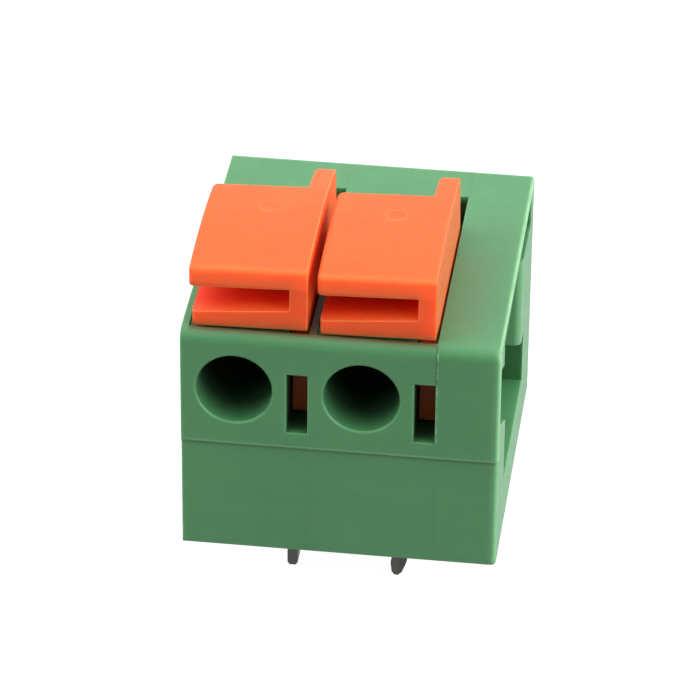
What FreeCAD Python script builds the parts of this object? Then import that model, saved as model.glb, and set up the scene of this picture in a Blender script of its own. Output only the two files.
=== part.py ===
import FreeCAD, Part
import math
import os
import Sketcher

# Two-pole spring terminal block on a 5.0 mm pitch, in millimetres, +Z up.
# Frame: origin at the centre of the underside, which seats on the circuit board.
# X runs along the poles, -Y is the wire side.
#
# Every moulding is drawn in its own module frame: x = 0 is its left wall,
# y = 0 the wire-side face, z = 0 the board seat.  Placement puts it in the row.

os.makedirs("parts", exist_ok=True)
doc = FreeCAD.newDocument("spring_terminal_block")
V3 = FreeCAD.Vector

# ---------------------------------------------------------------- dimensions
CELLS = [
    # block
    ("pitch", 5.0, "pole pitch, and width of one module"),
    ("depth", 13.65, "front to back"),
    ("topfront", 9.85, "height at the wire side"),
    ("topback", 10.10, "height at the back"),
    ("stepheight", 4.85, "height of the step across the wire side"),
    ("stepback", 0.12, "set-back of the face below the step"),
    ("plate", 2.5, "thickness of the end plate"),
    ("topround", 0.50, "rounding of the upper front edge"),
    ("sidewall", 0.45, "closed left wall of a module"),
    # wire funnel
    ("wirex", 2.10, "wire axis from the left wall"),
    ("wirez", 7.34, "wire axis above the board"),
    ("wirerad", 1.50, "radius of the wire entry"),
    ("wirerim", 0.06, "broken edge of the wire entry"),
    ("wirestraight", 4.00, "parallel length of the wire entry"),
    ("wireend", 5.10, "end of the cone"),
    ("wiresmall", 0.95, "radius at the end of the cone"),
    # slot beside the wire entry
    ("notchx", 4.15, "left side of the slot and of the lever channel"),
    ("notchlow", 5.54, "bottom of the slot"),
    ("notchhigh", 8.20, "top of the slot"),
    # lever pocket and channel
    ("frontwall", 0.42, "front wall ahead of the lever"),
    ("pocketfloor", 9.72, "floor under the lever's front edge"),
    ("pocketback", 8.10, "back edge of the lever pocket"),
    ("pocketwall", 0.28, "left wall beside the lever pocket"),
    ("mouthx", 3.97, "left side of the channel's mouth, wider for the finger"),
    ("mouthlow", 8.50, "bottom of the channel's mouth"),
    ("channelback", 11.65, "back edge of the lever channel"),
    # clamp chamber
    ("chamberfront", 3.50, ""),
    ("chamberback", 11.90, ""),
    ("chamberfloor", 1.20, ""),
    ("chamberroof", 8.70, ""),
    ("ledge", 5.40, "top of the chamber's front part, below the funnel"),
    ("funnelback", 5.50, "back of the funnel's wall"),
    # pegs between the modules
    ("pegrad", 0.50, ""),
    ("peglong", 0.60, ""),
    ("socketrad", 0.52, ""),
    ("socketdeep", 0.70, ""),
    ("pegfronty", 1.10, ""),
    ("pegfrontz", 1.10, ""),
    ("pegreary", 12.72, ""),
    ("pegrearz", 8.90, ""),
    # lever
    ("pivoty", 2.75, "lever pivot"),
    ("pivotz", 6.95, "lever pivot"),
    ("pivotrad", 0.62, "moulded pivot pin"),
    ("eyebore", 0.66, "bore of the lever's eye"),
    ("eyerad", 1.30, "outside of the lever's eye"),
    ("leverfront", 0.45, "front of the lever head"),
    ("leverback", 6.80, "back of the lever head"),
    ("leverlow", 9.98, "underside of the lever head at the web"),
    ("leverdroop", 9.88, "underside of the lever head at its left side"),
    ("leverleft", 0.40, "left side of the lever head"),
    ("lipleft", 0.27, "left side of the head's upper plate"),
    ("armleft", 4.22, "left side of the web and arm"),
    ("armright", 4.91, "right side of the web and arm"),
    ("armfront", 1.45, "front of the arm"),
    ("fingerleft", 4.07, "left side of the finger"),
    ("slotlow", 10.80, "screwdriver slot, floor at the web"),
    ("slotdroop", 10.48, "screwdriver slot, floor at the left side"),
    ("slothigh", 11.75, "screwdriver slot"),
    ("slotback", 5.60, "screwdriver slot"),
    ("crownrad", 22.0, "crown of the lever's top"),
    ("crowny", 4.608, "centre of the crown"),
    ("crownz", -9.09, "centre of the crown"),
    ("tabback", 8.85, "back of the finger"),
    ("witnessx", 2.83, "ejector witness on the lever's top"),
    ("witnessy", 4.90, "ejector witness on the lever's top"),
    ("witnessz", 12.875, "ejector witness on the lever's top"),
    ("witnessrad", 0.40, "ejector witness on the lever's top"),
    ("nosey", 8.10, "nose that presses the spring"),
    ("nosez", 8.22, "nose that presses the spring"),
    ("noserad", 0.50, "nose that presses the spring"),
    # contact
    ("sheet", 0.42, "thickness of the contact"),
    ("contactx", 3.69, "left side of the contact's side plate"),
    ("pinlong", 3.30, "solder pins below the board seat"),
    ("pinwide", 0.76, ""),
    ("pinfronty", 4.25, "front pin"),
    ("pinreary", 9.25, "rear pin"),
    ("shelfz", 8.15, "underside of the clamping shelf"),
    ("shelffront", 6.10, ""),
    ("shelfback", 11.30, ""),
    ("shelfleft", 0.62, ""),
    # clamp spring
    ("strip", 0.30, "thickness of the spring strip"),
    ("springleft", 0.66, ""),
    ("springright", 3.46, ""),
    ("springtab", 4.86, "right end of the spring's side tab"),
    ("bendy", 5.50, "centre of the front bend"),
    ("bendz", 2.75, "centre of the front bend"),
    ("bendrad", 1.35, "front bend, middle of the strip"),
    # end plate
    ("webthick", 0.90, "web left behind the cored outer side"),
    ("rim", 0.35, "rim along the top and the front"),
]

sheet = doc.addObject("Spreadsheet::Sheet", "dims")
for row, (alias, value, note) in enumerate(CELLS, start=1):
    sheet.set("A%d" % row, alias)
    sheet.set("B%d" % row, repr(float(value)))
    sheet.setAlias("B%d" % row, alias)
    if note:
        sheet.set("C%d" % row, note)
doc.recompute()


class Dim:
    """A length together with the sheet expression that drives it."""

    def __init__(self, value, text):
        self.value = float(value)
        self.text = text

    @staticmethod
    def of(other):
        if isinstance(other, Dim):
            return other
        return Dim(other, repr(float(other)))

    def __add__(self, other):
        other = Dim.of(other)
        return Dim(self.value + other.value, "(%s + %s)" % (self.text, other.text))

    def __radd__(self, other):
        return Dim.of(other) + self

    def __sub__(self, other):
        other = Dim.of(other)
        return Dim(self.value - other.value, "(%s - %s)" % (self.text, other.text))

    def __rsub__(self, other):
        return Dim.of(other) - self

    def __mul__(self, other):
        other = Dim.of(other)
        return Dim(self.value * other.value, "(%s * %s)" % (self.text, other.text))

    __rmul__ = __mul__

    def __truediv__(self, other):
        other = Dim.of(other)
        return Dim(self.value / other.value, "(%s / %s)" % (self.text, other.text))

    def __neg__(self):
        return Dim(-self.value, "(-%s)" % self.text)

    def __float__(self):
        return self.value


D = {alias: Dim(sheet.get(alias), "dims." + alias) for alias, value, note in CELLS}


def root_of(q):
    return Dim(math.sqrt(q.value), "sqrt(%s)" % q.text)


# ------------------------------------------------------------------- helpers
def bind(obj, prop, q):
    q = Dim.of(q)
    if "dims." in q.text:
        obj.setExpression(prop, q.text)


def new_body(label, x, y):
    body = doc.addObject("PartDesign::Body", "Body_" + label)
    body.Label = label
    x, y = Dim.of(x), Dim.of(y)
    body.Placement = FreeCAD.Placement(V3(x.value, y.value, 0), FreeCAD.Rotation())
    bind(body, "Placement.Base.x", x)
    bind(body, "Placement.Base.y", y)
    return body


def origin_plane(body, role):
    for item in body.Origin.OriginFeatures:
        if item.Role == role:
            return item
    raise RuntimeError("no plane " + role)


def new_sketch(body, name, role, offset):
    offset = Dim.of(offset)
    s = body.newObject("Sketcher::SketchObject", name)
    s.AttachmentSupport = [(origin_plane(body, role), "")]
    s.MapMode = "FlatFace"
    s.AttachmentOffset = FreeCAD.Placement(V3(0, 0, offset.value), FreeCAD.Rotation())
    bind(s, "AttachmentOffset.Base.z", offset)
    return s


def pin_point(s, geo, pos, x, y):
    """Hold one sketch point at x, y, bound to the sheet."""
    for q, kind, axis in ((Dim.of(x), "DistanceX", -2), (Dim.of(y), "DistanceY", -1)):
        if q.text in ("0.0", "0") or abs(q.value) < 1e-9:
            s.addConstraint(Sketcher.Constraint("PointOnObject", geo, pos, axis))
            continue
        index = s.addConstraint(Sketcher.Constraint(kind, -1, 1, geo, pos, q.value))
        bind(s, "Constraints[%d]" % index, q)


def radius(s, geo, q):
    q = Dim.of(q)
    index = s.addConstraint(Sketcher.Constraint("Radius", geo, q.value))
    bind(s, "Constraints[%d]" % index, q)


def outline(s, items):
    """One closed loop.

    Each item is (x, y) for a corner held in place, or
    (x, y, "arc", (mid x, mid y), (centre x, centre y)) for a corner whose next edge is an
    arc through mid, or
    (x, y, "round", (centre x, centre y), r) for a tangent arc about a held centre: its two
    ends are free and join their neighbours tangentially.
    """
    n = len(items)
    vec = lambda a, b: V3(float(a), float(b), 0)
    first = s.GeometryCount
    kinds, ends = [], []
    for i, item in enumerate(items):
        nxt = items[(i + 1) % n]
        a, b = vec(*item[:2]), vec(*nxt[:2])
        if len(item) == 2:
            s.addGeometry(Part.LineSegment(a, b), False)
            kinds.append("line")
            ends.append((1, 2))
            continue
        if item[2] == "arc":
            m, c = vec(*item[3]), vec(*item[4])
        else:
            c = vec(*item[3])
            m = c + ((a - c).normalize() + (b - c).normalize()).normalize() * float(item[4])
        r = (a - c).Length
        leftward = (m - a).cross(b - m).z > 0
        u, v = (a, b) if leftward else (b, a)
        t0, t1 = math.atan2(u.y - c.y, u.x - c.x), math.atan2(v.y - c.y, v.x - c.x)
        if t1 < t0:
            t1 += 2 * math.pi
        s.addGeometry(Part.ArcOfCircle(Part.Circle(c, V3(0, 0, 1), r), t0, t1), False)
        kinds.append(item[2])
        ends.append((1, 2) if leftward else (2, 1))
    for i in range(n):
        j = (i + 1) % n
        free = kinds[i] == "round" or kinds[j] == "round"
        how = "Tangent" if free else "Coincident"
        s.addConstraint(Sketcher.Constraint(how, first + i, ends[i][1], first + j, ends[j][0]))
    for i, item in enumerate(items):
        if kinds[i] != "round" and kinds[i - 1] != "round":
            pin_point(s, first + i, ends[i][0], item[0], item[1])
        if kinds[i] == "arc":
            # the centre lies on the chord's bisector, so one of its coordinates fixes it
            nxt = items[(i + 1) % n]
            flat = abs(float(nxt[0]) - float(item[0])) > abs(float(nxt[1]) - float(item[1]))
            kind, q = ("DistanceY", item[4][1]) if flat else ("DistanceX", item[4][0])
            q = Dim.of(q)
            index = s.addConstraint(Sketcher.Constraint(kind, -1, 1, first + i, 3, q.value))
            bind(s, "Constraints[%d]" % index, q)
        if kinds[i] == "round":
            pin_point(s, first + i, 3, item[3][0], item[3][1])
            radius(s, first + i, item[4])


def box_outline(s, x0, x1, y0, y1):
    outline(s, [(x0, y0), (x1, y0), (x1, y1), (x0, y1)])


def circle(s, x, y, r):
    geo = s.addGeometry(Part.Circle(V3(float(x), float(y), 0), V3(0, 0, 1), float(r)), False)
    pin_point(s, geo, 3, x, y)
    radius(s, geo, r)


def solid_volume(body):
    doc.recompute()
    return body.Shape.Volume


def feature(body, kind, name, sketch, length=None, sign=0):
    """Pad or Pocket; sign says that the volume has to grow (+1) or shrink (-1)."""
    before = 0.0 if body.Tip is None or body.Shape.isNull() else body.Shape.Volume
    f = body.newObject("PartDesign::" + kind, name)
    f.Profile = sketch
    if length is not None:
        length = Dim.of(length)
        f.Length = length.value
        bind(f, "Length", length)
    sketch.Visibility = False
    after = solid_volume(body)
    if (after - before) * sign <= 1e-6:
        raise RuntimeError("%s %s changed the volume by %.4f" % (body.Label, name, after - before))
    return f


def pick(shape, test):
    names = []
    for i, e in enumerate(shape.Edges, start=1):
        b = e.BoundBox
        if test(b, e):
            names.append("Edge%d" % i)
    return names


def near(a, b, tol=2e-3):
    return abs(a - b) < tol


def round_edges(body, name, r, test, count=None):
    base = body.Tip
    names = pick(base.Shape, test)
    if not names or (count is not None and len(names) != count):
        raise RuntimeError("%s %s found %d edges" % (body.Label, name, len(names)))
    f = body.newObject("PartDesign::Fillet", name)
    f.Base = (base, names)
    r = Dim.of(r)
    f.Radius = r.value
    bind(f, "Radius", r)
    doc.recompute()
    if f.Shape.isNull() or not f.Shape.isValid() or f.Shape.Volume < 0.5 * base.Shape.Volume:
        raise RuntimeError("%s %s failed" % (body.Label, name))
    return f


def along_x(b):
    return b.YLength < 1e-4 and b.ZLength < 1e-4


def along_y(b):
    return b.XLength < 1e-4 and b.ZLength < 1e-4


def along_z(b):
    return b.XLength < 1e-4 and b.YLength < 1e-4


block_width = D["pitch"] * 2 + D["plate"]
row_x = -(block_width / 2)
row_y = -(D["depth"] / 2)


def side_profile(s):
    """Side view shared by the modules and the end plate."""
    outline(
        s,
        [
            (D["stepback"], Dim.of(0)),
            (D["depth"], Dim.of(0)),
            (D["depth"], D["topback"]),
            (Dim.of(0), D["topfront"]),
            (Dim.of(0), D["stepheight"]),
            (D["stepback"], D["stepheight"]),
        ],
    )


def top_at(y):
    """Height of the gently rising top at depth y."""
    return D["topfront"] + (D["topback"] - D["topfront"]) * y / D["depth"]


def sockets(body):
    s = new_sketch(body, body.Label + "_socket_sketch", "YZ_Plane", 0)
    circle(s, D["pegfronty"], D["pegfrontz"], D["socketrad"])
    circle(s, D["pegreary"], D["pegrearz"], D["socketrad"])
    f = body.newObject("PartDesign::Pocket", body.Label + "_sockets")
    f.Profile = s
    f.Reversed = True
    f.Length = D["socketdeep"].value
    bind(f, "Length", D["socketdeep"])
    before = f.BaseFeature.Shape.Volume
    if before - solid_volume(body) < 0.5:
        raise RuntimeError("sockets cut nothing")
    s.Visibility = False


# ------------------------------------------------------------------ housings
def make_housing(label, x):
    """One module: closed left wall, open right side, one wire funnel."""
    body = new_body(label, x, row_y)

    s = new_sketch(body, label + "_profile", "YZ_Plane", 0)
    side_profile(s)
    feature(body, "Pad", label + "_block", s, D["pitch"], +1)

    # pocket that the lever head dips into; its floor slopes down to the back
    s = new_sketch(body, label + "_head_sketch", "YZ_Plane", D["pitch"])
    outline(
        s,
        [
            (D["frontwall"], D["pocketfloor"]),
            (D["frontwall"] + 1.5, D["pocketfloor"]),
            (D["funnelback"], D["pocketfloor"] - 0.67),
            (D["funnelback"] + 1.1, D["pocketfloor"] - 0.93),
            (D["funnelback"] + 1.1, D["pocketfloor"] - 1.30),
            (D["pocketback"], D["pocketfloor"] - 1.30),
            (D["pocketback"], D["topback"] + 1),
            (D["frontwall"], D["topback"] + 1),
        ],
    )
    feature(body, "Pocket", label + "_head_pocket", s, D["pitch"] - D["pocketwall"], -1)

    # narrow channel for the lever's arm, open to the right side and to the top
    s = new_sketch(body, label + "_channel_sketch", "YZ_Plane", D["pitch"])
    outline(
        s,
        [
            (D["frontwall"] + 0.16, D["notchlow"]),
            (D["channelback"], D["notchlow"]),
            (D["channelback"], D["topback"] + 1),
            (D["frontwall"] + 0.01, D["topback"] + 1),
            (D["frontwall"] + 0.01, D["notchhigh"] + 0.55),
            (D["frontwall"] + 0.16, D["notchhigh"]),
        ],
    )
    feature(body, "Pocket", label + "_channel", s, D["pitch"] - D["notchx"], -1)

    # the channel's mouth is wider, for the lever's finger
    s = new_sketch(body, label + "_mouth_sketch", "YZ_Plane", D["pitch"])
    box_outline(s, D["pocketback"] - 1.3, D["channelback"], D["mouthlow"], D["topback"] + 1)
    feature(body, "Pocket", label + "_mouth", s, D["pitch"] - D["mouthx"], -1)

    # slot beside the wire entry, through the front wall
    s = new_sketch(body, label + "_slot_sketch", "YZ_Plane", D["pitch"])
    box_outline(s, -D["frontwall"], D["frontwall"] + 0.5, D["notchlow"], D["notchhigh"])
    feature(body, "Pocket", label + "_slot", s, D["pitch"] - D["notchx"], -1)

    # clamp chamber, stepped forward below the funnel
    s = new_sketch(body, label + "_chamber_sketch", "YZ_Plane", D["pitch"])
    outline(
        s,
        [
            (D["chamberfront"], D["chamberfloor"]),
            (D["chamberback"], D["chamberfloor"]),
            (D["chamberback"], D["chamberroof"]),
            (D["funnelback"], D["chamberroof"]),
            (D["funnelback"], D["ledge"]),
            (D["chamberfront"], D["ledge"]),
        ],
    )
    feature(body, "Pocket", label + "_chamber", s, D["pitch"] - D["sidewall"], -1)

    # cored space ahead of the chamber keeps the wall thickness even
    s = new_sketch(body, label + "_core_sketch", "YZ_Plane", D["pitch"])
    box_outline(s, D["frontwall"] + 0.53, D["chamberfront"] - 0.6, D["pegfrontz"] + 1.1, D["notchlow"] - 0.6)
    feature(body, "Pocket", label + "_core", s, D["pitch"] - D["sidewall"] * 2, -1)

    # slots in the floor for the two solder pins
    s = new_sketch(body, label + "_pinslot_sketch", "YZ_Plane", D["pitch"])
    half = D["pinwide"] / 2 + 0.05
    for y in (D["pinfronty"], D["pinreary"]):
        box_outline(s, y - half, y + half, -D["chamberfloor"], D["chamberfloor"] + 0.1)
    feature(body, "Pocket", label + "_pinslots", s, D["pitch"] - D["contactx"] + 0.04, -1)

    # wire funnel: parallel bore, then a cone
    s = new_sketch(body, label + "_funnel_sketch", "YZ_Plane", D["wirex"])
    axis = s.addGeometry(Part.LineSegment(V3(-1, D["wirez"].value, 0), V3(8, D["wirez"].value, 0)), True)
    pin_point(s, axis, 1, -1, D["wirez"])
    pin_point(s, axis, 2, 8, D["wirez"])
    outline(
        s,
        [
            (-D["wirerim"], D["wirez"]),
            (D["funnelback"] + 0.3, D["wirez"]),
            (D["funnelback"] + 0.3, D["wirez"] + D["wiresmall"]),
            (D["wireend"], D["wirez"] + D["wiresmall"]),
            (D["wirestraight"], D["wirez"] + D["wirerad"]),
            (D["wirerim"], D["wirez"] + D["wirerad"]),
            (-D["wirerim"], D["wirez"] + D["wirerad"] + D["wirerim"] * 2),
        ],
    )
    before = body.Shape.Volume
    f = body.newObject("PartDesign::Groove", label + "_funnel")
    f.Profile = s
    f.ReferenceAxis = (s, ["Axis0"])
    f.Angle = 360
    if before - solid_volume(body) < 10:
        raise RuntimeError("funnel cut nothing")
    s.Visibility = False

    # pivot pin for the lever
    s = new_sketch(body, label + "_pivot_sketch", "YZ_Plane", D["notchx"] - 0.05)
    circle(s, D["pivoty"], D["pivotz"], D["pivotrad"])
    feature(body, "Pad", label + "_pivot", s, D["armright"] - D["notchx"] - 0.01, +1)

    # pegs that key the next moulding, and the sockets for the one before
    s = new_sketch(body, label + "_peg_sketch", "YZ_Plane", D["pitch"])
    circle(s, D["pegfronty"], D["pegfrontz"], D["pegrad"])
    circle(s, D["pegreary"], D["pegrearz"], D["pegrad"])
    feature(body, "Pad", label + "_pegs", s, D["peglong"], +1)
    sockets(body)

    round_edges(
        body, label + "_topround", D["topround"],
        lambda b, e: along_x(b) and near(b.YMin, 0) and near(b.ZMin, D["topfront"].value), 1)
    return body


# ----------------------------------------------------------------- end plate
def make_end_plate(label, x):
    body = new_body(label, x, row_y)
    s = new_sketch(body, label + "_profile", "YZ_Plane", 0)
    side_profile(s)
    feature(body, "Pad", label + "_block", s, D["plate"], +1)

    # cored outer side: thin rim along the top and front, solid blocks at the back and below
    s = new_sketch(body, label + "_recess_sketch", "YZ_Plane", D["plate"])
    outline(
        s,
        [
            (D["rim"], Dim.of(6.4)),
            (Dim.of(2.7), Dim.of(5.2)),
            (Dim.of(2.7), Dim.of(2.3)),
            (Dim.of(10.4), Dim.of(2.3)),
            (Dim.of(10.4), Dim.of(4.6)),
            (Dim.of(9.3), Dim.of(4.6)),
            (Dim.of(9.3), Dim.of(8.5)),
            (Dim.of(12.5), Dim.of(8.5)),
            (Dim.of(12.5), top_at(Dim.of(12.5)) - D["rim"]),
            (Dim.of(1.5), top_at(Dim.of(1.5)) - D["rim"]),
            (Dim.of(1.5), Dim.of(8.45)),
            (D["rim"], Dim.of(8.95)),
        ],
    )
    feature(body, "Pocket", label + "_recess", s, D["plate"] - D["webthick"], -1)

    sockets(body)
    round_edges(
        body, label + "_topround", D["topround"],
        lambda b, e: along_x(b) and near(b.YMin, 0) and near(b.ZMin, D["topfront"].value), 1)
    right = D["plate"].value
    round_edges(body, label + "_lowcorner", 0.22,
                lambda b, e: along_z(b) and near(b.XMin, right) and near(b.YMin, D["stepback"].value) and b.ZMin < 0.1, 1)
    round_edges(body, label + "_block_edge", 0.3,
                lambda b, e: along_z(b) and near(b.XMin, right) and near(b.YMin, 9.3) and near(b.ZMin, 4.6), 1)
    round_edges(body, label + "_outer_edge", 0.17,
                lambda b, e: b.XLength < 1e-4 and near(b.XMin, right) and b.YLength > 10 and b.ZMin > 9.7
                and b.ZMax > D["topback"].value - 0.01, 1)
    return body


# -------------------------------------------------------------------- levers
def crown_at(y):
    """Height of the lever's crowned top at depth y."""
    y = Dim.of(y)
    return D["crownz"] + root_of(D["crownrad"] * D["crownrad"] - (y - D["crowny"]) * (y - D["crowny"]))


def tangent_from_point(px, py, cx, cy, r, side):
    """Point where the line from p touches the circle; side +1 is to the left of p to c."""
    dx, dy = cx - px, cy - py
    d = math.hypot(dx, dy)
    a = math.asin(r / d)
    length = math.sqrt(d * d - r * r)
    base = math.atan2(dy, dx) + side * a
    return px + length * math.cos(base), py + length * math.sin(base)


def make_lever(label, x):
    """Rocker: slotted head, web and finger, arm with an eye at the pivot and a nose."""
    body = new_body(label, x, row_y)
    py, pz, er = D["pivoty"].value, D["pivotz"].value, D["eyerad"].value
    ny, nz, nr = D["nosey"].value, D["nosez"].value, D["noserad"].value
    # lower edge touches the eye and the nose
    d = math.hypot(ny - py, nz - pz)
    slope = math.atan2(nz - pz, ny - py) + math.asin((er - nr) / d)
    off = slope - math.pi / 2
    e2 = (py + er * math.cos(off), pz + er * math.sin(off))
    n1 = (ny + nr * math.cos(off), nz + nr * math.sin(off))
    # back edge touches the nose
    by, bz = 9.33, 9.20
    n2 = tangent_from_point(by, bz, ny, nz, nr, +1)

    s = new_sketch(body, label + "_arm_sketch", "YZ_Plane", D["armleft"])
    outline(
        s,
        [
            (D["leverfront"], D["leverlow"]),
            (D["armfront"], D["leverlow"]),
            (D["armfront"], Dim.of(9.60)),
            (D["leverfront"], Dim.of(9.40)),
            (D["leverfront"], D["notchhigh"] + 0.75),
            (D["armfront"], D["notchhigh"] + 0.55),
            (D["armfront"], D["pivotz"] - D["eyerad"]),
            (D["pivoty"], D["pivotz"] - D["eyerad"], "round", (D["pivoty"], D["pivotz"]), D["eyerad"]),
            (e2[0], e2[1]),
            (n1[0], n1[1], "round", (D["nosey"], D["nosez"]), D["noserad"]),
            (n2[0], n2[1]),
            (Dim.of(by), Dim.of(bz)),
            (Dim.of(9.28), Dim.of(10.05)),
            (D["tabback"], crown_at(D["tabback"]), "arc",
             (D["crowny"], D["crownz"] + D["crownrad"]), (D["crowny"], D["crownz"])),
            (D["leverfront"], crown_at(D["leverfront"])),
        ],
    )
    feature(body, "Pad", label + "_arm", s, D["armright"] - D["armleft"], +1)

    # finger behind the head
    s = new_sketch(body, label + "_finger_sketch", "YZ_Plane", D["fingerleft"])
    outline(
        s,
        [
            (D["leverback"] - 0.2, Dim.of(10.0)),
            (Dim.of(8.55), Dim.of(9.25)),
            (Dim.of(by), Dim.of(bz)),
            (Dim.of(9.28), Dim.of(10.05)),
            (D["tabback"], crown_at(D["tabback"]), "arc",
             (D["tabback"] - 1.0, crown_at(D["tabback"] - 1.0)), (D["crowny"], D["crownz"])),
            (D["leverback"] - 0.2, crown_at(D["leverback"] - 0.2)),
        ],
    )
    feature(body, "Pad", label + "_finger", s, D["armleft"] - D["fingerleft"] + 0.1, +1)

    # slotted head: lower plate, sagging a little to the left
    s = new_sketch(body, label + "_lowplate_sketch", "XZ_Plane", -D["leverback"])
    outline(
        s,
        [
            (D["leverleft"], D["leverdroop"]),
            (D["armleft"] + 0.1, D["leverlow"]),
            (D["armleft"] + 0.1, D["slotlow"]),
            (D["leverleft"], D["slotdroop"]),
        ],
    )
    feature(body, "Pad", label + "_lowplate", s, D["leverback"] - D["leverfront"], +1)

    # back wall and crowned upper plate
    s = new_sketch(body, label + "_head_sketch", "YZ_Plane", D["leverleft"])
    outline(
        s,
        [
            (D["slotback"], D["slotdroop"] - 0.1),
            (D["leverback"], D["slotdroop"] - 0.1),
            (D["leverback"], crown_at(D["leverback"]), "arc",
             (D["crowny"] - 1.0, crown_at(D["crowny"] - 1.0)), (D["crowny"], D["crownz"])),
            (D["leverfront"], crown_at(D["leverfront"])),
            (D["leverfront"], D["slothigh"]),
            (D["slotback"], D["slothigh"]),
        ],
    )
    feature(body, "Pad", label + "_head", s, D["armleft"] - D["leverleft"] + 0.1, +1)

    # the upper plate reaches a little further left, over the module's wall
    s = new_sketch(body, label + "_lip_sketch", "YZ_Plane", D["lipleft"])
    outline(
        s,
        [
            (D["leverfront"], D["slothigh"]),
            (D["leverback"], D["slothigh"]),
            (D["leverback"], crown_at(D["leverback"]), "arc",
             (D["crowny"] - 1.0, crown_at(D["crowny"] - 1.0)), (D["crowny"], D["crownz"])),
            (D["leverfront"], crown_at(D["leverfront"])),
        ],
    )
    feature(body, "Pad", label + "_lip", s, D["leverleft"] - D["lipleft"] + 0.1, +1)

    # eye that turns on the pivot pin
    s = new_sketch(body, label + "_eye_sketch", "YZ_Plane", D["armright"])
    circle(s, D["pivoty"], D["pivotz"], D["eyebore"])
    feature(body, "Pocket", label + "_eye", s, D["armright"] - D["armleft"] + 0.1, -1)

    fr, bk = D["leverfront"].value, D["leverback"].value
    lx, ll = D["lipleft"].value, D["leverleft"].value
    # upright corners of the head's left side
    round_edges(body, label + "_corner_a", 0.30,
                lambda b, e: along_z(b) and near(b.XMin, lx) and near(b.YMin, fr) and b.ZMin > 11.7, 1)
    round_edges(body, label + "_corner_b", 0.20,
                lambda b, e: along_z(b) and near(b.XMin, ll) and near(b.YMin, fr) and b.ZMax < 11.0, 1)
    round_edges(body, label + "_corner_c", 0.25,
                lambda b, e: along_z(b) and near(b.XMin, lx) and near(b.YMin, bk) and b.ZMin > 11.7, 1)
    # finger: root and end
    al, tb = D["fingerleft"].value, D["tabback"].value
    round_edges(body, label + "_corner_e", 0.20,
                lambda b, e: along_z(b) and near(b.XMin, al) and near(b.YMin, bk) and b.ZMin > 9.9, 1)
    round_edges(body, label + "_corner_d", 0.28,
                lambda b, e: b.XLength < 1e-4 and near(b.XMin, al) and near(b.YMin, tb)
                and b.ZMax > 12.3 and b.ZMin > 9.9 and b.ZLength > 1.0, 1)
    # lower front corner of the arm
    af = D["armfront"].value
    round_edges(body, label + "_toe", 0.12,
                lambda b, e: along_x(b) and near(b.YMin, af) and near(b.ZMin, pz - er), 1)
    # upper edge, from the web round the front, the left side and the back to the finger's end
    round_edges(body, label + "_toproll", 0.20,
                lambda b, e: along_x(b) and near(b.YMin, fr) and b.ZMin > 12.3, 1)

    # shallow round ejector witness on the top
    s = new_sketch(body, label + "_witness_sketch", "XY_Plane", D["witnessz"])
    circle(s, D["witnessx"], D["witnessy"], D["witnessrad"])
    before = body.Shape.Volume
    f = body.newObject("PartDesign::Pocket", label + "_witness")
    f.Profile = s
    f.Reversed = True
    f.Length = 1.0
    if before - solid_volume(body) < 0.003:
        raise RuntimeError("witness cut nothing")
    s.Visibility = False
    return body


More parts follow.
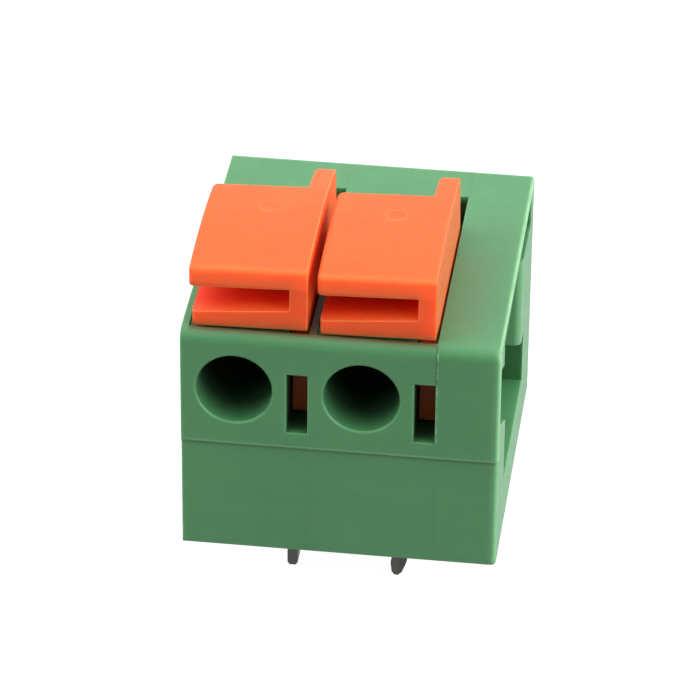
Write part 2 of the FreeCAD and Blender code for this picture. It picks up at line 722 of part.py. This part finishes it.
# ------------------------------------------------------------------ contacts
def make_contact(label, x, lean):
    """Tinned sheet part: side plate, clamping shelf over the wire and two solder pins."""
    body = new_body(label, x, row_y)
    half = D["pinwide"] / 2

    s = new_sketch(body, label + "_plate_sketch", "YZ_Plane", D["contactx"])
    top = D["shelfz"] + D["sheet"]
    outline(
        s,
        [
            (D["pinfronty"] - half, D["chamberfloor"] + 0.03),
            (D["pinreary"] - half, D["chamberfloor"] + 0.03),
            (D["pinreary"] - half, -(D["pinlong"] - 0.7)),
            (D["pinreary"] - half + 0.2, -D["pinlong"]),
            (D["pinreary"] + half - 0.2, -D["pinlong"]),
            (D["pinreary"] + half, -(D["pinlong"] - 0.7)),
            (D["pinreary"] + half, D["chamberfloor"] + 0.03),
            (D["shelfback"], D["chamberfloor"] + 0.03),
            (D["shelfback"], top),
            (D["shelfback"] - 1.0, top),
            (D["shelfback"] - 1.0, D["chamberfloor"] + 3.4),
            (D["pinfronty"] - half, D["chamberfloor"] + 3.4),
        ],
    )
    feature(body, "Pad", label + "_plate", s, D["sheet"], +1)

    # clamping shelf, folded over from the riser
    s = new_sketch(body, label + "_shelf_sketch", "XY_Plane", D["shelfz"])
    outline(
        s,
        [
            (D["shelfleft"], D["shelffront"]),
            (D["springright"], D["shelffront"]),
            (D["springright"], D["shelfback"] - 1.0),
            (D["contactx"] + D["sheet"], D["shelfback"] - 1.0),
            (D["contactx"] + D["sheet"], D["shelfback"]),
            (D["shelfleft"], D["shelfback"]),
        ],
    )
    feature(body, "Pad", label + "_shelf", s, D["sheet"], +1)

    # front pin, drawn from the wire side; the second pole's is bent over to the left
    left, right = D["contactx"], D["contactx"] + D["sheet"]
    s = new_sketch(body, label + "_pin_sketch", "XZ_Plane", -(D["pinfronty"] + half))
    low = D["pinlong"]
    if lean:
        low = low + 0.10
        points = [
            (left, D["chamberfloor"] + 0.4),
            (left, Dim.of(-0.10)),
            (left - 0.77, -(low - 0.60)),
            (left - 0.72, -(low - 0.15)),
            (left - 0.60, -low),
            (left - 0.45, -low),
            (left - 0.30, -(low - 0.15)),
            (left - 0.13, -(low - 0.60)),
            (right, Dim.of(-0.10)),
            (right, D["chamberfloor"] + 0.4),
        ]
    else:
        points = [
            (left, D["chamberfloor"] + 0.4),
            (left, -(low - 0.12)),
            (left + 0.08, -low),
            (right - 0.08, -low),
            (right, -(low - 0.12)),
            (right, D["chamberfloor"] + 0.4),
        ]
    outline(s, points)
    feature(body, "Pad", label + "_pin", s, D["pinwide"], +1)

    # outer radius of the fold between riser and shelf
    round_edges(body, label + "_fold", 0.35,
                lambda b, e: along_y(b) and near(b.XMin, right.value) and near(b.ZMin, top.value), 1)
    return body


# ------------------------------------------------------------- clamp springs
def make_spring(label, x):
    """Leaf spring: base leg, front bend, clamping leg and a side tab under the lever's nose."""
    body = new_body(label, x, row_y)
    by, bz, br, t = D["bendy"], D["bendz"], D["bendrad"], D["strip"] / 2
    c = math.sqrt(0.5)
    run = 4.30
    outer, inner = br + t, br - t
    end = Dim.of(10.75)
    mid = math.radians(202.5)

    def at(r, ang):
        return by + r * math.cos(math.radians(ang)), bz + r * math.sin(math.radians(ang))

    s = new_sketch(body, label + "_strip_sketch", "YZ_Plane", D["springleft"])
    o1, o2, om = (by, bz - outer), (by - outer * c, bz + outer * c), at(outer, 202.5)
    i1, i2, im = (by, bz - inner), (by - inner * c, bz + inner * c), at(inner, 202.5)
    hook = 1.0
    outline(
        s,
        [
            (o1[0], o1[1], "arc", om, (by, bz)),
            (o2[0], o2[1]),
            (o2[0] + run, o2[1] + run),
            (i2[0] + run, i2[1] + run),
            (i2[0], i2[1], "arc", im, (by, bz)),
            (i1[0], i1[1]),
            (end - D["strip"], bz - inner),
            (end - D["strip"], bz - inner + hook),
            (end, bz - inner + hook),
            (end, bz - outer),
        ],
    )
    feature(body, "Pad", label + "_strip", s, D["springright"] - D["springleft"], +1)

    # side tab at the leg's free end
    s = new_sketch(body, label + "_tab_sketch", "YZ_Plane", D["springright"] - 0.1)
    back = 0.95
    outline(
        s,
        [
            (o2[0] + run, o2[1] + run),
            (i2[0] + run, i2[1] + run),
            (i2[0] + run - back, i2[1] + run - back),
            (o2[0] + run - back, o2[1] + run - back),
        ],
    )
    feature(body, "Pad", label + "_tab", s, D["springtab"] - D["springright"] + 0.1, +1)
    round_edges(body, label + "_hook_bend", 0.45,
                lambda b, e: along_x(b) and near(b.YMin, end.value) and near(b.ZMin, (bz - outer).value), 1)
    return body


bodies = [
    make_housing("housing_1", row_x),
    make_housing("housing_2", row_x + D["pitch"]),
    make_end_plate("end_plate", row_x + D["pitch"] * 2),
    make_lever("lever_1", row_x),
    make_lever("lever_2", row_x + D["pitch"]),
    make_contact("contact_1", row_x, False),
    make_contact("contact_2", row_x + D["pitch"], True),
    make_spring("clamp_spring_1", row_x),
    make_spring("clamp_spring_2", row_x + D["pitch"]),
]

doc.recompute()
faults = []
for obj in doc.Objects:
    if "Invalid" in obj.State or "Error" in obj.State:
        faults.append("%s: %s" % (obj.Label, obj.State))
for body in bodies:
    shape = body.Shape
    if shape.isNull() or not shape.isValid() or len(shape.Solids) != 1:
        faults.append("%s: bad shape" % body.Label)
if faults:
    raise RuntimeError("; ".join(faults))

for body in bodies:
    shape = body.Shape
    box = shape.BoundBox
    shape.exportStep("parts/%s.step" % body.Label)
    print("%-16s %8.3f mm3  x %.3f..%.3f  y %.3f..%.3f  z %.3f..%.3f" % (
        body.Label, shape.Volume, box.XMin, box.XMax, box.YMin, box.YMax, box.ZMin, box.ZMax))
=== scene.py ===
import math

import bmesh
import bpy
from mathutils import Matrix, Vector


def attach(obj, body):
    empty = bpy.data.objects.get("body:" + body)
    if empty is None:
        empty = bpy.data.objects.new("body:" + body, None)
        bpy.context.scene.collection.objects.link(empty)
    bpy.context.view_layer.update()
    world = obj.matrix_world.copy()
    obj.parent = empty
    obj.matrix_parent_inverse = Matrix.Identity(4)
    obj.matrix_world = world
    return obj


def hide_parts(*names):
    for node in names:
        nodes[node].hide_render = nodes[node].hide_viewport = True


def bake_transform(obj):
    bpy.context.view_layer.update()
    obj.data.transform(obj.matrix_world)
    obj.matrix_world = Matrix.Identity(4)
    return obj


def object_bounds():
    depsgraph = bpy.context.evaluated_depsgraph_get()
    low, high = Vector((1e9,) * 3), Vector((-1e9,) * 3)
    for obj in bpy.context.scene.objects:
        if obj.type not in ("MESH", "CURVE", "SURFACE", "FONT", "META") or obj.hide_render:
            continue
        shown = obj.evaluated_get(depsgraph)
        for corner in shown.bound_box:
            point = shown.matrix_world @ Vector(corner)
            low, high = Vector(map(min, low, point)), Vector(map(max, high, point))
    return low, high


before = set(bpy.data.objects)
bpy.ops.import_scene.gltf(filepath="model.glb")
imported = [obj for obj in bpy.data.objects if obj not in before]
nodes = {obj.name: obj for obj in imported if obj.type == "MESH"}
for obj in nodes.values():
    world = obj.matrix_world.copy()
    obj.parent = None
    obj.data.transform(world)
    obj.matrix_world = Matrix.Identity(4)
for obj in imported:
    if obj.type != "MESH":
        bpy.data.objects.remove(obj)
MM = 0.001
cad_lo, cad_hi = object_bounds()


# ---------------------------------------------------------------- node helpers
def new_material(name):
    m = bpy.data.materials.new(name)
    m.use_nodes = True
    m.node_tree.nodes.clear()
    return m, m.node_tree


def add(tree, kind, **props):
    n = tree.nodes.new(kind)
    for k, v in props.items():
        setattr(n, k, v)
    return n


def noise(tree, coords, scale, detail=3.0, rough=0.5, stretch=None):
    if stretch:
        mp = add(tree, "ShaderNodeMapping")
        mp.inputs["Scale"].default_value = stretch
        tree.links.new(coords, mp.inputs["Vector"])
        coords = mp.outputs["Vector"]
    n = add(tree, "ShaderNodeTexNoise")
    n.inputs["Scale"].default_value = scale
    n.inputs["Detail"].default_value = detail
    n.inputs["Roughness"].default_value = rough
    tree.links.new(coords, n.inputs["Vector"])
    return n.outputs["Fac"]


def ramp(tree, fac, stops):
    r = add(tree, "ShaderNodeValToRGB")
    r.color_ramp.interpolation = "EASE"
    while len(r.color_ramp.elements) < len(stops):
        r.color_ramp.elements.new(0.5)
    for e, (p, c) in zip(r.color_ramp.elements, stops):
        e.position = p
        e.color = (*c, 1.0)
    tree.links.new(fac, r.inputs["Fac"])
    return r.outputs["Color"]


def spread(tree, fac, lo, hi, start=0.3, end=0.7):
    m = add(tree, "ShaderNodeMapRange")
    m.inputs["From Min"].default_value = start
    m.inputs["From Max"].default_value = end
    m.inputs["To Min"].default_value = lo
    m.inputs["To Max"].default_value = hi
    tree.links.new(fac, m.inputs["Value"])
    return m.outputs["Result"]


def bump(tree, height, distance, strength=1.0, normal=None):
    b = add(tree, "ShaderNodeBump")
    b.inputs["Strength"].default_value = strength
    b.inputs["Distance"].default_value = distance
    tree.links.new(height, b.inputs["Height"])
    if normal is not None:
        tree.links.new(normal, b.inputs["Normal"])
    return b.outputs["Normal"]


def mix(tree, fac, a, b, mode="MIX"):
    m = add(tree, "ShaderNodeMix", data_type="RGBA", blend_type=mode)
    if isinstance(fac, float):
        m.inputs["Factor"].default_value = fac
    else:
        tree.links.new(fac, m.inputs["Factor"])
    for socket, value in ((m.inputs["A"], a), (m.inputs["B"], b)):
        if isinstance(value, tuple):
            socket.default_value = (*value, 1.0)
        else:
            tree.links.new(value, socket)
    return m.outputs["Result"]


def shade(c, k):
    return tuple(min(1.0, x * k) for x in c)


def calc(tree, operation, a, b=None, c=None):
    m = add(tree, "ShaderNodeMath", operation=operation)
    for i, value in enumerate((a, b, c)):
        if value is None:
            continue
        if isinstance(value, (int, float)):
            m.inputs[i].default_value = value
        else:
            tree.links.new(value, m.inputs[i])
    return m.outputs[0]


SEAMS = (-1.25 * MM, 3.75 * MM)


def edge_breaks(tree, coords, width, highlight_width):
    """Normal over slightly broken edges, and a mask for a thin painted highlight along them.

    Both fade out where two mouldings butt against each other.
    """
    x = add(tree, "ShaderNodeSeparateXYZ")
    tree.links.new(coords, x.inputs[0])
    away = calc(tree, "MINIMUM", *[calc(tree, "ABSOLUTE", calc(tree, "SUBTRACT", x.outputs["X"], s)) for s in SEAMS])
    near_seam = spread(tree, away, 0.22, 1.0, 0.05 * MM, 0.12 * MM)
    soft = add(tree, "ShaderNodeBevel", samples=6)
    tree.links.new(calc(tree, "MULTIPLY", near_seam, width), soft.inputs["Radius"])
    wide = add(tree, "ShaderNodeBevel", samples=6)
    tree.links.new(calc(tree, "MULTIPLY", near_seam, highlight_width), wide.inputs["Radius"])
    flat = add(tree, "ShaderNodeNewGeometry").outputs["Normal"]
    dot = add(tree, "ShaderNodeVectorMath", operation="DOT_PRODUCT")
    tree.links.new(wide.outputs["Normal"], dot.inputs[0])
    tree.links.new(flat, dot.inputs[1])
    mask = spread(tree, dot.outputs["Value"], 1.0, 0.0, 0.80, 0.985)
    return soft.outputs["Normal"], mask


# ------------------------------------------------------------------- materials
FRONT = -6.825 * MM
BORES = ((-4.15, 7.34), (0.85, 7.34))
MODULES = (-6.25, -1.25)


def axes(tree, coords):
    x = add(tree, "ShaderNodeSeparateXYZ")
    tree.links.new(coords, x.inputs[0])
    return x.outputs["X"], x.outputs["Y"], x.outputs["Z"]


def band(tree, value, lo, hi, blur=0.03):
    """1 where value lies between lo and hi (mm), with soft ends."""
    up = spread(tree, value, 0.0, 1.0, (lo - blur) * MM, lo * MM)
    down = spread(tree, value, 1.0, 0.0, hi * MM, (hi + blur) * MM)
    return calc(tree, "MULTIPLY", up, down)


def fade(tree, value, at_one, at_zero):
    """1 at at_one falling to 0 at at_zero (mm)."""
    lo, hi = sorted((at_one, at_zero))
    ends = (0.0, 1.0) if at_one > at_zero else (1.0, 0.0)
    return spread(tree, value, *ends, lo * MM, hi * MM)


def product(tree, first, *rest):
    for m in rest:
        first = calc(tree, "MULTIPLY", first, m)
    return first


def hollow_shade(tree, coords):
    """Mask of painted shade: 0 at the face, rising to 1 on the walls deeper in the wire entries and in the slots beside
    them.
    """
    x, y, z = axes(tree, coords)
    bores = []
    for cx, cz in BORES:
        dx = calc(tree, "SUBTRACT", x, cx * MM)
        dz = calc(tree, "SUBTRACT", z, cz * MM)
        r = calc(tree, "SQRT", calc(tree, "MULTIPLY_ADD", dx, dx, calc(tree, "MULTIPLY", dz, dz)))
        bores.append(spread(tree, r, 1.0, 0.0, 1.56 * MM, 1.60 * MM))
    front = FRONT / MM
    bore = product(tree, calc(tree, "MAXIMUM", *bores), fade(tree, y, front + 1.5, front + 0.0))
    beside = calc(tree, "MAXIMUM", *[band(tree, x, x0 + 4.12, x0 + 5.03) for x0 in MODULES])
    slot = product(tree, beside, band(tree, z, 5.50, 8.23), fade(tree, y, front + 0.6, front + 0.02), 0.9)
    return calc(tree, "MULTIPLY", calc(tree, "MAXIMUM", bore, slot), fade(tree, y, 1.0, 2.0))


def housing_painted_light_and_chips(tree, coords, base, colour):
    """Painted light and shade on the housings, with real chips: painted highlights along the end plate's right edges,
    on its front right edge, on the block face in its recess and just above the front step; painted shade below the
    step, on the wall below the block, at the foot of the levers (dark brown, for shade and orange bounce light), on the
    strip between the levers, in the finger channels and at the pocket's front lip; painted orange bounce light on the
    end plate top beside the right lever; a dark hairline at the seam and pale chips beside it.
    """
    x, y, z = axes(tree, coords)
    front = FRONT / MM
    # painted highlight: a pale line along the end plate's right edges at its top and front
    edge = fade(tree, x, 6.22, 6.12)
    outer = product(tree, edge, calc(tree, "MAXIMUM", fade(tree, y, front + 0.15, front + 0.36), fade(tree, z, 9.82, 9.66)))
    uneven = spread(tree, noise(tree, coords, 1400, 3, 0.6), 0.75, 1.0, 0.35, 0.6)
    base = mix(tree, product(tree, outer, uneven), base, (0.23, 0.46, 0.24))
    # painted highlight: the end plate's front right edge drawn paler
    corner = product(tree, fade(tree, x, 6.16, 5.88), fade(tree, y, front + 0.2, front + 0.5), 0.42)
    base = mix(tree, corner, base, GREEN_PALE)
    # painted light: the block face in the end plate's recess drawn paler
    block = product(tree, band(tree, y, 2.45, 2.80, 0.1), band(tree, z, 4.58, 8.5), fade(tree, x, 5.7, 4.7), 0.6)
    base = mix(tree, block, base, GREEN_PALE)
    # painted shade: the wall below the block in the recess darkened
    shaded = product(tree, band(tree, y, 3.56, 3.59, 0.02), band(tree, z, 2.28, 4.62), fade(tree, x, 4.7, 4.6), 0.6)
    base = mix(tree, shaded, base, (0.012, 0.085, 0.018))
    # painted highlight: a pale line just above the front step
    step_highlight = product(tree, fade(tree, y, front + 0.02, front + 0.05), band(tree, z, 4.86, 4.93, 0.05), uneven)
    base = mix(tree, calc(tree, "MULTIPLY", step_highlight, 0.45), base, GREEN_PALE)
    # painted shadow: a darker band below the front step
    step_shadow = product(tree, fade(tree, y, front + 0.16, front + 0.18), band(tree, z, 4.70, 4.84, 0.06))
    base = mix(tree, calc(tree, "MULTIPLY", step_shadow, 0.30), base, shade(colour, 0.6))
    # painted shade: dark brown on the housing tops at the foot of the levers, tinted as orange bounce light
    foot = product(tree, fade(tree, y, -6.44, -6.76), fade(tree, y, -6.38, -6.28), fade(tree, z, 9.70, 9.45), fade(tree, x, 3.70, 3.78), fade(tree, x, -5.90, -6.05))
    base = mix(tree, calc(tree, "MULTIPLY", calc(tree, "POWER", foot, 1.4), 0.85), base, (0.085, 0.030, 0.006))
    # painted shade: a dark strip on the housing top between the two levers
    between = product(tree, band(tree, x, -1.32, -0.99, 0.04), fade(tree, z, 9.60, 9.45), fade(tree, y, -3.0, -0.5), fade(tree, y, -6.32, -6.46))
    base = mix(tree, calc(tree, "MULTIPLY", between, 0.8), base, (0.040, 0.015, 0.005))
    # painted bounce light and shade: an orange-olive tint on the end plate top beside the right lever
    lever_bounce_and_shade = product(tree, band(tree, x, 3.8, 4.9, 0.8), band(tree, y, -5.0, -0.5, 1.5), fade(tree, z, 9.70, 9.50), 0.13)
    base = mix(tree, lever_bounce_and_shade, base, (0.18, 0.13, 0.06))
    # painted shade: darkened inside the finger channels
    gap = product(tree, calc(tree, "MAXIMUM", *[band(tree, x, x0 + 4.10, x0 + 5.03) for x0 in MODULES]),
                  band(tree, y, 1.25, 4.90), band(tree, z, 5.0, 9.70, 0.25), 0.85)
    base = mix(tree, gap, base, (0.016, 0.022, 0.008))
    # painted shade: dark brown at the pocket's front lip below the levers
    lip = product(tree, band(tree, y, -6.46, -6.22, 0.08), band(tree, z, 8.6, 9.80, 0.03), fade(tree, x, 3.70, 3.74), fade(tree, x, -5.99, -6.06), 0.85)
    base = mix(tree, lip, base, (0.030, 0.014, 0.005))
    seam = product(tree, band(tree, x, 3.735, 3.765, 0.012), band(tree, z, 8.25, 9.80), fade(tree, y, -6.30, -6.20))
    base = mix(tree, calc(tree, "MULTIPLY", seam, 0.8), base, shade(colour, 0.15))
    chips = spread(tree, noise(tree, coords, 3600, 3, 0.6), 0.0, 1.0, 0.46, 0.60)
    chipped = product(tree, band(tree, x, 3.775, 3.82, 0.02), band(tree, z, 5.6, 9.7), fade(tree, y, front + 0.5, front + 0.6), chips)
    base = mix(tree, calc(tree, "MULTIPLY", chipped, 0.6), base, (0.25, 0.48, 0.26))
    return base


def slot_shade(tree, coords):
    """1 inside the driver slot of either lever, where painted shade deepens the colour."""
    x, y, z = axes(tree, coords)
    across = calc(tree, "MAXIMUM", *[band(tree, x, x0 + 0.2, x0 + 4.25, 0.02) for x0 in MODULES])
    return product(tree, across, band(tree, z, 10.36, 11.77, 0.02), fade(tree, y, -5.4, -6.34), fade(tree, y, -1.20, -1.12))


def moulded_plastic(name, colour, pale, rough, see_in, reach, spark=1.0, edge_highlight=0.42, shine=0.5, part="housing"):
    """Moulded polyamide: cloudy pigment, spark-eroded grain, faint flow lines and a painted highlight along the edges,
    plus painted light and shade on the housings and levers.
    """
    m, t = new_material(name)
    coords = add(t, "ShaderNodeTexCoord").outputs["Object"]
    cloud = noise(t, coords, 240, 4, 0.55)
    base = ramp(t, cloud, [(0.25, shade(colour, 0.94)), (0.5, colour), (0.78, shade(colour, 1.06))])
    flow = noise(t, coords, 420, 3, 0.6, stretch=(0.35, 0.35, 2.6))
    base = mix(t, spread(t, flow, 0.0, 0.10, 0.45, 0.8), base, pale)
    speck = noise(t, coords, 5200, 2, 0.4)
    base = mix(t, spread(t, speck, 0.0, 0.16, 0.74, 0.80), base, pale)
    soft, mask = edge_breaks(t, coords, 0.045 * MM, 0.11 * MM)
    # painted highlight: the pale colour laid in a thin line along the edges
    base = mix(t, calc(t, "MULTIPLY", mask, edge_highlight), base, pale)
    if part == "housing":
        base = housing_painted_light_and_chips(t, coords, base, colour)
        # painted shade: darker deep in the wire entries and in the slots beside them
        base = mix(t, calc(t, "MULTIPLY", hollow_shade(t, coords), 0.85), base, shade(colour, 0.12))
    else:
        # painted shade: deeper red inside the driver slots
        base = mix(t, slot_shade(t, coords), base, (0.93, 0.040, 0.006))
        x, y, z = axes(t, coords)
        # painted highlight: a lighter band on the upper plate's front
        brow_highlight = product(t, fade(t, y, -6.30, -5.95), fade(t, z, 11.85, 11.70), 0.8)
        base = mix(t, brow_highlight, base, (1.0, 0.150, 0.034))
        # painted shade and green reflection: a darker, duller right side on the right lever above the housing
        side = product(t, band(t, x, 3.645, 3.67, 0.01), fade(t, z, 9.98, 9.90), 0.7)
        base = mix(t, side, base, (0.41, 0.115, 0.035))
        # painted shade: a dark band on the lever below its lower plate
        under = product(t, fade(t, z, 9.93, 9.97), fade(t, z, 8.9, 8.6), 0.4)
        base = mix(t, under, base, (0.20, 0.018, 0.004))
    grain = noise(t, coords, 15000, 4, 0.65)
    sink = noise(t, coords, 380, 2, 0.45)
    scuff = noise(t, coords, 1500, 4, 0.6, stretch=(1.0, 1.0, 4.0))
    b = add(t, "ShaderNodeBsdfPrincipled")
    t.links.new(base, b.inputs["Base Color"])
    t.links.new(spread(t, scuff, rough - 0.05, rough + 0.08), b.inputs["Roughness"])
    n = bump(t, sink, 6e-6, 0.8, soft)
    n = bump(t, grain, 1.0e-6 * spark, 0.8, n)
    t.links.new(n, b.inputs["Normal"])
    b.inputs["IOR"].default_value = 1.50
    b.inputs["Specular IOR Level"].default_value = shine
    b.inputs["Subsurface Weight"].default_value = see_in
    b.inputs["Subsurface Radius"].default_value = reach
    b.inputs["Subsurface Scale"].default_value = 0.001
    out = add(t, "ShaderNodeOutputMaterial")
    t.links.new(b.outputs["BSDF"], out.inputs["Surface"])
    return m


def sheet_metal(name, colour, dark, rough, draw, metal=1.0):
    """Stamped sheet: rolling lines along the strip, dull patches and small pits."""
    m, t = new_material(name)
    coords = add(t, "ShaderNodeTexCoord").outputs["Object"]
    lines = noise(t, coords, 2600, 5, 0.6, stretch=draw)
    dull = noise(t, coords, 900, 4, 0.6)
    base = ramp(t, dull, [(0.3, dark), (0.55, colour), (0.8, shade(colour, 1.12))])
    base = mix(t, spread(t, lines, 0.0, 0.3, 0.4, 0.75), base, dark)
    pits = noise(t, coords, 7000, 3, 0.5)
    soft = add(t, "ShaderNodeBevel", samples=6)
    soft.inputs["Radius"].default_value = 0.03 * MM
    b = add(t, "ShaderNodeBsdfPrincipled")
    t.links.new(base, b.inputs["Base Color"])
    b.inputs["Metallic"].default_value = metal
    t.links.new(spread(t, dull, rough - 0.08, rough + 0.12), b.inputs["Roughness"])
    n = bump(t, lines, 2.5e-6, 0.7, soft.outputs["Normal"])
    n = bump(t, pits, 1.5e-6, 0.6, n)
    t.links.new(n, b.inputs["Normal"])
    out = add(t, "ShaderNodeOutputMaterial")
    t.links.new(b.outputs["BSDF"], out.inputs["Surface"])
    return m


GREEN = (0.058, 0.215, 0.082)
# the pale colours tint flow lines and specks, and also serve as the painted highlight colours
GREEN_PALE = (0.16, 0.38, 0.19)
ORANGE = (0.86, 0.105, 0.022)
ORANGE_PALE = (0.95, 0.30, 0.12)
green = moulded_plastic("green_housing", GREEN, GREEN_PALE, 0.46, 0.50, (0.45, 0.75, 0.45))
orange = moulded_plastic("orange_lever", ORANGE, ORANGE_PALE, 0.46, 0.80, (1.6, 0.32, 0.14), 0.8, 0.5, 0.18, "lever")
tin = sheet_metal("tinned_contact", (0.085, 0.084, 0.078), (0.045, 0.044, 0.042), 0.45, (1.0, 1.0, 0.12))
steel = sheet_metal("spring_steel", (0.50, 0.50, 0.49), (0.28, 0.28, 0.28), 0.30, (6.0, 0.5, 0.5))


def sag(x0):
    """A lever's upper plate hangs a little lower at its free left side; x0 is that module's left wall."""

    def move(co):
        across = min(max((4.22 - (co.x - x0)) / 3.95, 0.0), 1.0)
        above = min(max((co.z - 10.9) / 0.6, 0.0), 1.0)
        co.z -= 0.13 * across * above

    return move


def skin(name, body, material, move=None, angle=40):
    """The CAD surface welded into one mesh, smooth over its rounds and crisp at its edges."""
    bm = bmesh.new()
    bm.from_mesh(nodes[name].data)
    bmesh.ops.scale(bm, vec=(1000, 1000, 1000), verts=bm.verts)
    bmesh.ops.remove_doubles(bm, verts=bm.verts, dist=0.002)
    if move:
        for v in bm.verts:
            move(v.co)
    for f in bm.faces:
        f.smooth = True
    for e in bm.edges:
        e.smooth = len(e.link_faces) == 2 and e.calc_face_angle() < math.radians(angle)
    bmesh.ops.scale(bm, vec=(MM, MM, MM), verts=bm.verts)
    mesh = bpy.data.meshes.new(name + "_skin")
    bm.to_mesh(mesh)
    bm.free()
    mesh.materials.append(material)
    obj = bpy.data.objects.new(name + "_skin", mesh)
    bpy.context.scene.collection.objects.link(obj)
    n = obj.modifiers.new("normals", "WEIGHTED_NORMAL")
    n.keep_sharp = True
    n.weight = 80
    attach(obj, body)
    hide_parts(name)
    return obj


for name in ("housing_1", "housing_2", "end_plate"):
    skin(name, "block", green)
skin("lever_1", "left_lever", orange, sag(-6.25))
skin("lever_2", "right_lever", orange, sag(-1.25))
for name in ("contact_1", "contact_2"):
    skin(name, "block", tin)


# --------------------------------------------------------------- clamp springs
def flexible_leaf(node):
    """The clamp spring as a finely cut mesh, sliced every 0.2 mm up its height."""
    bm = bmesh.new()
    bm.from_mesh(nodes[node].data)
    bmesh.ops.scale(bm, vec=(1000, 1000, 1000), verts=bm.verts)
    bmesh.ops.remove_doubles(bm, verts=bm.verts, dist=0.002)
    zs = [v.co.z for v in bm.verts]
    z = min(zs) + 0.2
    while z < max(zs):
        bmesh.ops.bisect_plane(bm, geom=bm.verts[:] + bm.edges[:] + bm.faces[:], plane_co=(0, 0, z), plane_no=(0, 0, 1))
        z += 0.2
    bmesh.ops.scale(bm, vec=(0.001, 0.001, 0.001), verts=bm.verts)
    mesh = bpy.data.meshes.new(node + "_leaf")
    bm.to_mesh(mesh)
    bm.free()
    for p in mesh.polygons:
        p.use_smooth = True
    obj = bpy.data.objects.new(node + "_leaf", mesh)
    bpy.context.scene.collection.objects.link(obj)
    mesh.materials.append(steel)
    n = obj.modifiers.new("normals", "WEIGHTED_NORMAL")
    n.weight = 80
    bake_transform(obj)
    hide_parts(node)
    return obj


flexible_leaf("clamp_spring_1")
flexible_leaf("clamp_spring_2")


# ----------------------------------------------------------------------- stage
def make_floor():
    z = cad_lo.z - 0.002 * MM
    bm = bmesh.new()
    bmesh.ops.create_circle(bm, cap_ends=True, radius=0.9, segments=96)
    mesh = bpy.data.meshes.new("studio_floor")
    bm.to_mesh(mesh)
    bm.free()
    obj = bpy.data.objects.new("studio_floor", mesh)
    obj.location = (0, 0, z)
    bpy.context.scene.collection.objects.link(obj)
    m, t = new_material("pale_floor")
    b = add(t, "ShaderNodeBsdfPrincipled")
    b.inputs["Base Color"].default_value = (0.12, 0.12, 0.12, 1)
    b.inputs["Roughness"].default_value = 0.9
    b.inputs["Specular IOR Level"].default_value = 0.1
    b.inputs["Emission Color"].default_value = (1, 1, 1, 1)
    b.inputs["Emission Strength"].default_value = 0.95
    out = add(t, "ShaderNodeOutputMaterial")
    t.links.new(b.outputs["BSDF"], out.inputs["Surface"])
    mesh.materials.append(m)
    obj.visible_diffuse = False


make_floor()

world = bpy.data.worlds.new("soft_sky")
bpy.context.scene.world = world
world.use_nodes = True
t = world.node_tree
t.nodes.clear()
co = add(t, "ShaderNodeTexCoord").outputs["Generated"]
sep = add(t, "ShaderNodeSeparateXYZ")
t.links.new(co, sep.inputs[0])
high = calc(t, "MAXIMUM", sep.outputs["Z"], 0.0)
zenith = calc(t, "MULTIPLY", calc(t, "POWER", high, 4.0), 1.4)
behind = spread(t, sep.outputs["Y"], 0.15, 1.25, -0.15, 0.45)
above = spread(t, sep.outputs["Z"], 0.15, 1.0, -0.10, 0.10)
sky = calc(t, "ADD", calc(t, "MULTIPLY", behind, above), zenith)
bg = add(t, "ShaderNodeBackground")
bg.inputs["Color"].default_value = (1, 1, 1, 1)
t.links.new(sky, bg.inputs["Strength"])
wo = add(t, "ShaderNodeOutputWorld")
t.links.new(bg.outputs[0], wo.inputs["Surface"])


def softbox(name, location, target, size, power):
    light = bpy.data.lights.new(name, "AREA")
    light.shape = "RECTANGLE"
    light.size, light.size_y = size
    light.energy = power
    obj = bpy.data.objects.new(name, light)
    obj.location = location
    obj.rotation_mode = "QUATERNION"
    obj.rotation_quaternion = (Vector(target) - Vector(location)).to_track_quat("-Z", "Y")
    bpy.context.scene.collection.objects.link(obj)
    return obj


softbox("left_softbox", (-0.260, -0.121, 0.200), (0, 0, 0.005), (0.42, 0.36), 1.25)
softbox("right_softbox", (0.305, -0.085, 0.148), (0, 0, 0.005), (0.40, 0.34), 1.95)


# ---------------------------------------------------------------------- camera
def make_camera():
    az, el, ro = math.radians(6.977), math.radians(31.483), math.radians(0.626)
    dist, focal, side = 172.59, 4479.6, 700
    back = Vector((math.sin(az) * math.cos(el), -math.cos(az) * math.cos(el), math.sin(el)))
    right = Vector((math.cos(az), math.sin(az), 0))
    up = Vector((-math.sin(az) * math.sin(el), math.cos(az) * math.sin(el), math.cos(el)))
    r2 = math.cos(ro) * right + math.sin(ro) * up
    u2 = -math.sin(ro) * right + math.cos(ro) * up
    place = (Vector((6.641 - 6.25, -6.825, 9.545)) + dist * back) * MM
    cam = bpy.data.cameras.new("camera")
    cam.sensor_width = 36.0
    cam.sensor_fit = "HORIZONTAL"
    cam.lens = focal / side * 36.0
    cam.clip_start, cam.clip_end = 0.01, 10
    obj = bpy.data.objects.new("camera", cam)
    m = Matrix((r2, u2, back)).transposed().to_4x4()
    m.translation = place
    obj.matrix_world = m
    bpy.context.scene.collection.objects.link(obj)
    bpy.context.scene.camera = obj


make_camera()
view = bpy.context.scene.view_settings
view.view_transform = "Standard"
view.look = "None"
view.exposure = 0.0
view.gamma = 1.0
